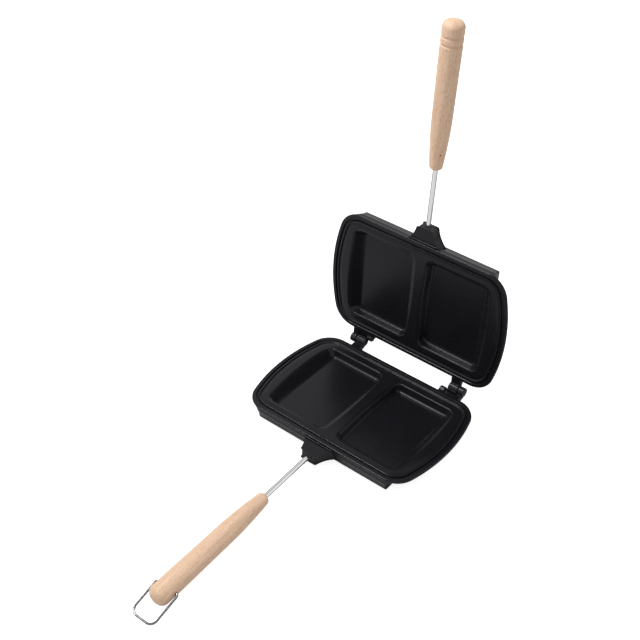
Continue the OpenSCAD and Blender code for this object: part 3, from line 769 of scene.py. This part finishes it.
    def execute(self, context):
        m = measures(context)
        coat = coat_material(context.scene.pie_iron_finishes)
        for side, place, _ in sides(m):
            bm = bmesh.new()
            outer = self.shell(m, bm)
            self.pockets(m, bm, outer)
            self.boss(m, bm)
            self.hinge(m, bm)
            pan = new_object(side + "_pan_cast", bm, place)
            dress(pan, coat, side, side + "_pan")
        return {"FINISHED"}


class PIEIRON_OT_rods(Operator):
    """Make the two steel rods between the bosses and the handles"""
    bl_idname = "pie_iron.make_rods"
    bl_label = "Rods"

    def execute(self, context):
        m = measures(context)
        steel = steel_material("Bright steel", context.scene.pie_iron_finishes.steel, 0.09, 0.16)
        r, ease = m.rod / 2, 0.6
        start, end = -m.rod_seat, m.rod_show + m.rod_in_wood
        profile = [(0, start), (r - ease, start), (r, start + ease), (r, 0.0), (r, m.rod_show),
                   (r, end - ease), (r - ease, end), (0, end)]
        for side, stand, lean in sides(m):
            rod = new_object(side + "_rod_drawn", turned(profile, ROD_STEPS), stand @ on_rod(m, lean))
            dress(rod, steel, side, side + "_rod")
        return {"FINISHED"}


class PIEIRON_OT_handles(Operator):
    """Make the two turned beech handles"""
    bl_idname = "pie_iron.make_handles"
    bl_label = "Handles"

    # radius at a distance from the front end, in millimetres
    TURNED = ((0.0, 5.6), (0.35, 6.5), (1.1, 7.2), (2.3, 7.65), (5, 8.0), (8, 8.3), (12, 8.7), (17, 9.15),
              (22, 9.6), (28, 10.05), (34, 10.45), (40, 10.82), (46, 11.15), (53, 11.4), (60, 11.57),
              (75, 11.75), (95, 11.9), (115, 12.08), (130, 12.25), (142, 12.38))

    def profile(self, m, grooves):
        bore = m.rod / 2 + 0.03
        made = [(0, m.rod_in_wood + 1), (bore, m.rod_in_wood + 1), (bore, 0.5), (bore + 0.5, 0.0)]
        made += [(r, z) for z, r in self.TURNED]
        groove_r = 1.6
        lips = ((0.02, 0.5), (0.15, 0.12))      # how far a groove's soft lip is sunk, at a distance
        for middle in grooves:
            half = math.sqrt(groove_r ** 2 - (groove_r - m.groove_depth) ** 2)
            top = math.acos(half / groove_r)
            made += [(GRIP - sunk, middle - half - off) for sunk, off in lips]
            turns = [math.pi + top + (math.pi - 2 * top) * k / 8 for k in range(9)]
            made += [(GRIP + groove_r - m.groove_depth + groove_r * math.sin(t) - 0.25 * (k in (0, 8)),
                      middle + groove_r * math.cos(t)) for k, t in enumerate(turns)]
            made += [(GRIP - sunk, middle + half + off) for sunk, off in reversed(lips)]
        dome, full = 9.0, 0.9           # the dome's height, and how much fuller than an ellipse it is
        turns = [math.pi / 2 * k / 16 for k in range(17)]
        made += [(GRIP * math.cos(t) ** full, m.handle_length - dome + dome * math.sin(t) ** full)
                 for t in turns]
        made[-1] = (0, m.handle_length)
        return made

    def execute(self, context):
        m = measures(context)
        finishes = context.scene.pie_iron_finishes
        latch = m.handle_length - m.groove_back
        for side, stand, lean in sides(m):
            grooves = (latch - m.groove_pitch, latch) if side == "upper" else ()
            along = on_rod(m, lean) @ Matrix.Translation((0, 0, m.rod_show))
            place = stand @ along
            handle = new_object(side + "_handle_turned", turned(self.profile(m, grooves), HANDLE_STEPS),
                                place)
            holes = [brad_hole(m, place)]
            if side == "lower":
                holes.append(bail_hole(m, place))
            cut(handle, holes)
            turn = place.to_3x3().normalized().inverted().to_euler()
            wood = beech_material(side.capitalize() + " beech", finishes, turn,
                                  (0.13, 0.41, 0.27) if side == "lower" else (0.55, 0.08, 0.91))
            dress(handle, wood, side, side + "_handle")
        return {"FINISHED"}


def brad_place(m, place):
    """Z points out of the wood at the brad, from the handle's surface."""
    return (place @ Matrix.Translation((0, 0, m.brad_back)) @ Matrix.Rotation(m.brad_angle, 4, "Z")
            @ Matrix.Rotation(-math.pi / 2, 4, "X") @ Matrix.Translation((0, 0, BRAD_OUT)))


def brad_hole(m, place):
    r = m.brad / 2 + 0.08
    profile = [(0, -5), (r, -5), (r, -0.5), (r + 0.25, 3), (0, 3)]
    return new_object("brad_hole", turned(profile, WIRE_STEPS), brad_place(m, place))


def bail_hole(m, place):
    r = m.wire / 2 + 0.15
    middle = (Matrix.Translation((0, 0, m.handle_length - m.bail_back))
              @ Matrix.Rotation(math.pi / 2, 4, "Y"))
    mouth = r + 3.5
    profile = [(0, -20), (mouth, -20), (mouth, -15.6), (r, -11.9), (r, 11.9), (mouth, 15.6), (mouth, 20),
               (0, 20)]
    return new_object("bail_hole", turned(profile, WIRE_STEPS), place @ middle)


class PIEIRON_OT_pins(Operator):
    """Make the brads in the handles, the lock pins in the bosses and the hinge pins"""
    bl_idname = "pie_iron.make_pins"
    bl_label = "Pins and brads"

    def execute(self, context):
        m = measures(context)
        steel = steel_material("Pin steel", context.scene.pie_iron_finishes.pin_steel, 0.28, 0.42)
        r, sunk, dome, ease = m.brad / 2, 0.2, 0.35, 0.3
        for side, stand, lean in sides(m):
            turns = [math.pi / 2 * k / 6 for k in range(6)]
            head = [(r * math.cos(t), dome * math.sin(t) - sunk) for t in turns]
            place = stand @ on_rod(m, lean) @ Matrix.Translation((0, 0, m.rod_show))
            profile = [(0, -12), (r * 0.6, -11), (r, -9), *head, (0, dome - sunk)]
            brad = new_object(side + "_brad", turned(profile, WIRE_STEPS), brad_place(m, place))
            dress(brad, steel, side, side + "_handle_pin")
            # The lock pin stops short of the boss's underside and its top.
            low = m.boss_lift - m.pan_height + m.rod_drop + 0.5
            high = low + m.pan_height - m.boss_lift - m.boss_step - 2
            place = (stand @ on_rod(m, lean) @ Matrix.Translation((0, 0, -m.lock_pin_back))
                     @ Matrix.Rotation(-math.pi / 2, 4, "X"))
            pin = new_object(side + "_lock_pin",
                             turned(plain_bar(m.lock_pin / 2, low, high, ease), WIRE_STEPS), place)
            dress(pin, steel, side, side + "_rod_pin")
        lug_in = m.lug_middle - m.lug_width / 2
        ear_out = m.lug_middle + m.lug_width / 2 + m.lug_play + m.ear_width
        profile = plain_bar(m.hinge_pin / 2, lug_in, ear_out - 0.3, ease)
        for name, stand, body in (("hinge_pin_left", opened(m), "upper"),
                                  ("hinge_pin_right", standing(m), "lower")):
            place = stand @ Matrix.Translation(hinge_point(m)) @ Matrix.Rotation(math.pi / 2, 4, "Y")
            pin = new_object(name + "_drawn", turned(profile, WIRE_STEPS), place)
            dress(pin, steel, body, name)
        return {"FINISHED"}


def bar_distance(m):
    """From the bail's pivot to the middle of its far bar, which lies on the ground in front."""
    back = (BAIL_AT.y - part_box("bail")[0].y) / MM - m.wire / 2
    return math.hypot(back, BAIL_AT.z / MM - m.wire / 2)


class PIEIRON_OT_bail(Operator):
    """Make the bent wire bail in the end of the lower handle"""
    bl_idname = "pie_iron.make_bail"
    bl_label = "Bail"

    def execute(self, context):
        m = measures(context)
        wire = steel_material("Bright wire", context.scene.pie_iron_finishes.wire_steel, 0.12, 0.2)
        far = bar_distance(m)
        leg = (m.bail_width + m.wire) / 2
        in_wood = GRIP - m.bail_hold
        bm = bmesh.new()
        side = Matrix.Translation((in_wood, 0, 0)) @ Matrix.Rotation(math.pi / 2, 4, "Y")
        ring = bmesh.ops.create_circle(bm, segments=WIRE_STEPS, radius=m.wire / 2, matrix=side)["verts"]
        close(bm, ring)

        def straight(ring, by):
            return grow(bm, ring, [v.co + Vector(by) for v in ring])

        def bend(ring, centre, turn):
            steps = 10
            step = Matrix.Rotation(turn / steps, 4, "Z")
            middle = Vector(centre)
            for _ in range(steps):
                ring = grow(bm, ring, [middle + step @ (v.co - middle) for v in ring])
            return ring

        hook, corner = m.bail_hook, m.bail_corner
        ring = straight(ring, (leg - hook - in_wood, 0, 0))
        ring = bend(ring, (leg - hook, hook, 0), math.pi / 2)
        ring = straight(ring, (0, far - corner - hook, 0))
        ring = bend(ring, (leg - corner, far - corner, 0), math.pi / 2)
        ring = straight(ring, (2 * (corner - leg), 0, 0))
        ring = bend(ring, (corner - leg, far - corner, 0), math.pi / 2)
        ring = straight(ring, (0, hook + corner - far, 0))
        ring = bend(ring, (hook - leg, hook, 0), math.pi / 2)
        ring = straight(ring, (leg - hook - in_wood, 0, 0))
        close(bm, ring)
        dip = math.asin((BAIL_AT.z / MM - m.wire / 2) / far)
        place = (Matrix.Translation(BAIL_AT) @ Matrix.Rotation(dip, 4, "X")
                 @ Matrix.Rotation(math.pi, 4, "Z") @ Matrix.Scale(MM, 4))
        bail = new_object("bail_wire", bm, place)
        dress(bail, wire, "bail", "bail")
        return {"FINISHED"}


class PIEIRON_OT_stage(Operator):
    """Make the pale floor, the soft studio light and the camera"""
    bl_idname = "pie_iron.make_stage"
    bl_label = "Stage"

    FLOOR_SIZE = 6.0
    FLOOR_TONE = (0.72, 0.72, 0.72, 1.0)
    # name, place, target, size, power
    SOFTBOXES = (("Softbox above", (-0.7, -0.1, 2.0), (0.0, 0.05, 0.1), 0.5, 27.0),
                 ("Softbox in front", (-1.4, -1.6, 1.1), (0.0, 0.0, 0.15), 1.0, 7.0))
    # the camera of the photograph, solved from the object's outlines
    LENS, SENSOR = 63.90328, 36.0
    SHIFT = (0.008950, -0.002210)
    EYE = (0.5602419, -0.6926757, 0.9776634)
    EYE_TURN = (50.0138, -0.3981, 38.4711)

    def backdrop_mask(self, tree):
        """1 where the backdrop is seen directly, or in something glossy or clear."""
        path = add(tree, "ShaderNodeLightPath")
        total = path.outputs["Is Camera Ray"]
        for ray in ("Is Glossy Ray", "Is Transmission Ray"):
            sum_up = add(tree, "ShaderNodeMath", {"operation": "MAXIMUM"})
            tree.links.new(total, sum_up.inputs[0])
            tree.links.new(path.outputs[ray], sum_up.inputs[1])
            total = sum_up.outputs[0]
        return total

    def floor(self, finishes):
        bm = bmesh.new()
        bmesh.ops.create_grid(bm, x_segments=1, y_segments=1, size=self.FLOOR_SIZE)
        mesh = bpy.data.meshes.new("floor")
        bm.to_mesh(mesh)
        bm.free()
        floor = in_scene("floor", mesh)
        material = bpy.data.materials.new("Floor")
        material.use_nodes = True
        tree = material.node_tree
        shader = tree.nodes["Principled BSDF"]
        shader.inputs["Base Color"].default_value = self.FLOOR_TONE
        shader.inputs["Roughness"].default_value = 0.9
        shader.inputs["Specular IOR Level"].default_value = 0.0
        glow = add(tree, "ShaderNodeEmission", Color=(*finishes.backdrop, 1.0))
        # The camera sees the floor as white. Gloss sees its own tone, so dark metal keeps its depth.
        path = add(tree, "ShaderNodeLightPath")
        strength = add(tree, "ShaderNodeMapRange", To_Min=0.0, To_Max=0.82)
        tree.links.new(path.outputs["Is Camera Ray"], strength.inputs["Value"])
        tree.links.new(strength.outputs["Result"], glow.inputs["Strength"])
        both = add(tree, "ShaderNodeAddShader")
        tree.links.new(shader.outputs[0], both.inputs[0])
        tree.links.new(glow.outputs[0], both.inputs[1])
        tree.links.new(both.outputs[0], tree.nodes["Material Output"].inputs["Surface"])
        mesh.materials.append(material)

    def world(self, context, finishes):
        world = bpy.data.worlds.new("Studio")
        world.use_nodes = True
        tree = world.node_tree
        seen = tree.nodes["Background"]
        seen.inputs["Color"].default_value = (*finishes.backdrop, 1.0)
        # In gloss, the white backdrop gives way to a dimmer ceiling overhead.
        where = add(tree, "ShaderNodeTexCoord")
        split = add(tree, "ShaderNodeSeparateXYZ")
        ceiling = add(tree, "ShaderNodeMapRange", {"clamp": True}, From_Min=0.72, From_Max=0.92,
                      To_Min=1.0, To_Max=0.3)
        path = add(tree, "ShaderNodeLightPath")
        strength = add(tree, "ShaderNodeMath", {"operation": "MAXIMUM"})
        tree.links.new(where.outputs["Generated"], split.inputs[0])
        tree.links.new(split.outputs["Z"], ceiling.inputs["Value"])
        tree.links.new(ceiling.outputs["Result"], strength.inputs[0])
        tree.links.new(path.outputs["Is Camera Ray"], strength.inputs[1])
        tree.links.new(strength.outputs[0], seen.inputs["Strength"])
        light = add(tree, "ShaderNodeBackground", Color=(1.0, 1.0, 1.0, 1.0), Strength=0.6)
        mix = add(tree, "ShaderNodeMixShader")
        tree.links.new(self.backdrop_mask(tree), mix.inputs[0])
        tree.links.new(light.outputs[0], mix.inputs[1])
        tree.links.new(seen.outputs[0], mix.inputs[2])
        tree.links.new(mix.outputs[0], tree.nodes["World Output"].inputs["Surface"])
        context.scene.world = world

    def lamp(self, name, place, target, size, power):
        data = bpy.data.lights.new(name, "AREA")
        data.shape = "SQUARE"
        data.size = size
        data.energy = power
        lamp = in_scene(name, data)
        lamp.location = place
        lamp.rotation_euler = (Vector(target) - Vector(place)).to_track_quat("-Z", "Y").to_euler()

    def execute(self, context):
        finishes = context.scene.pie_iron_finishes
        self.floor(finishes)
        self.world(context, finishes)
        for softbox in self.SOFTBOXES:
            self.lamp(*softbox)
        data = bpy.data.cameras.new("Camera")
        data.lens, data.sensor_width = self.LENS, self.SENSOR
        data.shift_x, data.shift_y = self.SHIFT
        data.clip_start, data.clip_end = 0.05, 50.0
        camera = in_scene("Camera", data)
        camera.location = self.EYE
        camera.rotation_euler = [math.radians(v) for v in self.EYE_TURN]
        context.scene.camera = camera
        context.scene.view_settings.view_transform = "Standard"
        return {"FINISHED"}


class PIEIRON_PT_panel(Panel):
    """The pie iron's pieces and sizes"""
    bl_label = "Pie Iron"
    bl_idname = "PIEIRON_PT_panel"
    bl_space_type = "VIEW_3D"
    bl_region_type = "UI"
    bl_category = "Pie Iron"

    def draw(self, context):
        for operator in OPERATORS:
            self.layout.operator(operator.bl_idname)
        for group, kind in ((context.scene.pie_iron_sizes, PIEIRON_PG_sizes),
                            (context.scene.pie_iron_finishes, PIEIRON_PG_finishes)):
            box = self.layout.box()
            for key in kind.__annotations__:
                box.prop(group, key)


OPERATORS = (PIEIRON_OT_pans, PIEIRON_OT_rods, PIEIRON_OT_handles, PIEIRON_OT_pins, PIEIRON_OT_bail,
             PIEIRON_OT_stage)
CLASSES = (PIEIRON_PG_sizes, PIEIRON_PG_finishes, *OPERATORS, PIEIRON_PT_panel)


def register():
    for kind in CLASSES:
        bpy.utils.register_class(kind)
    bpy.types.Scene.pie_iron_sizes = PointerProperty(type=PIEIRON_PG_sizes)
    bpy.types.Scene.pie_iron_finishes = PointerProperty(type=PIEIRON_PG_finishes)


def unregister():
    del bpy.types.Scene.pie_iron_finishes
    del bpy.types.Scene.pie_iron_sizes
    for kind in reversed(CLASSES):
        bpy.utils.unregister_class(kind)


def main():
    register()
    for make in (bpy.ops.pie_iron.make_pans, bpy.ops.pie_iron.make_rods, bpy.ops.pie_iron.make_handles,
                 bpy.ops.pie_iron.make_pins, bpy.ops.pie_iron.make_bail, bpy.ops.pie_iron.make_stage):
        make()


if __name__ == "__main__":
    main()
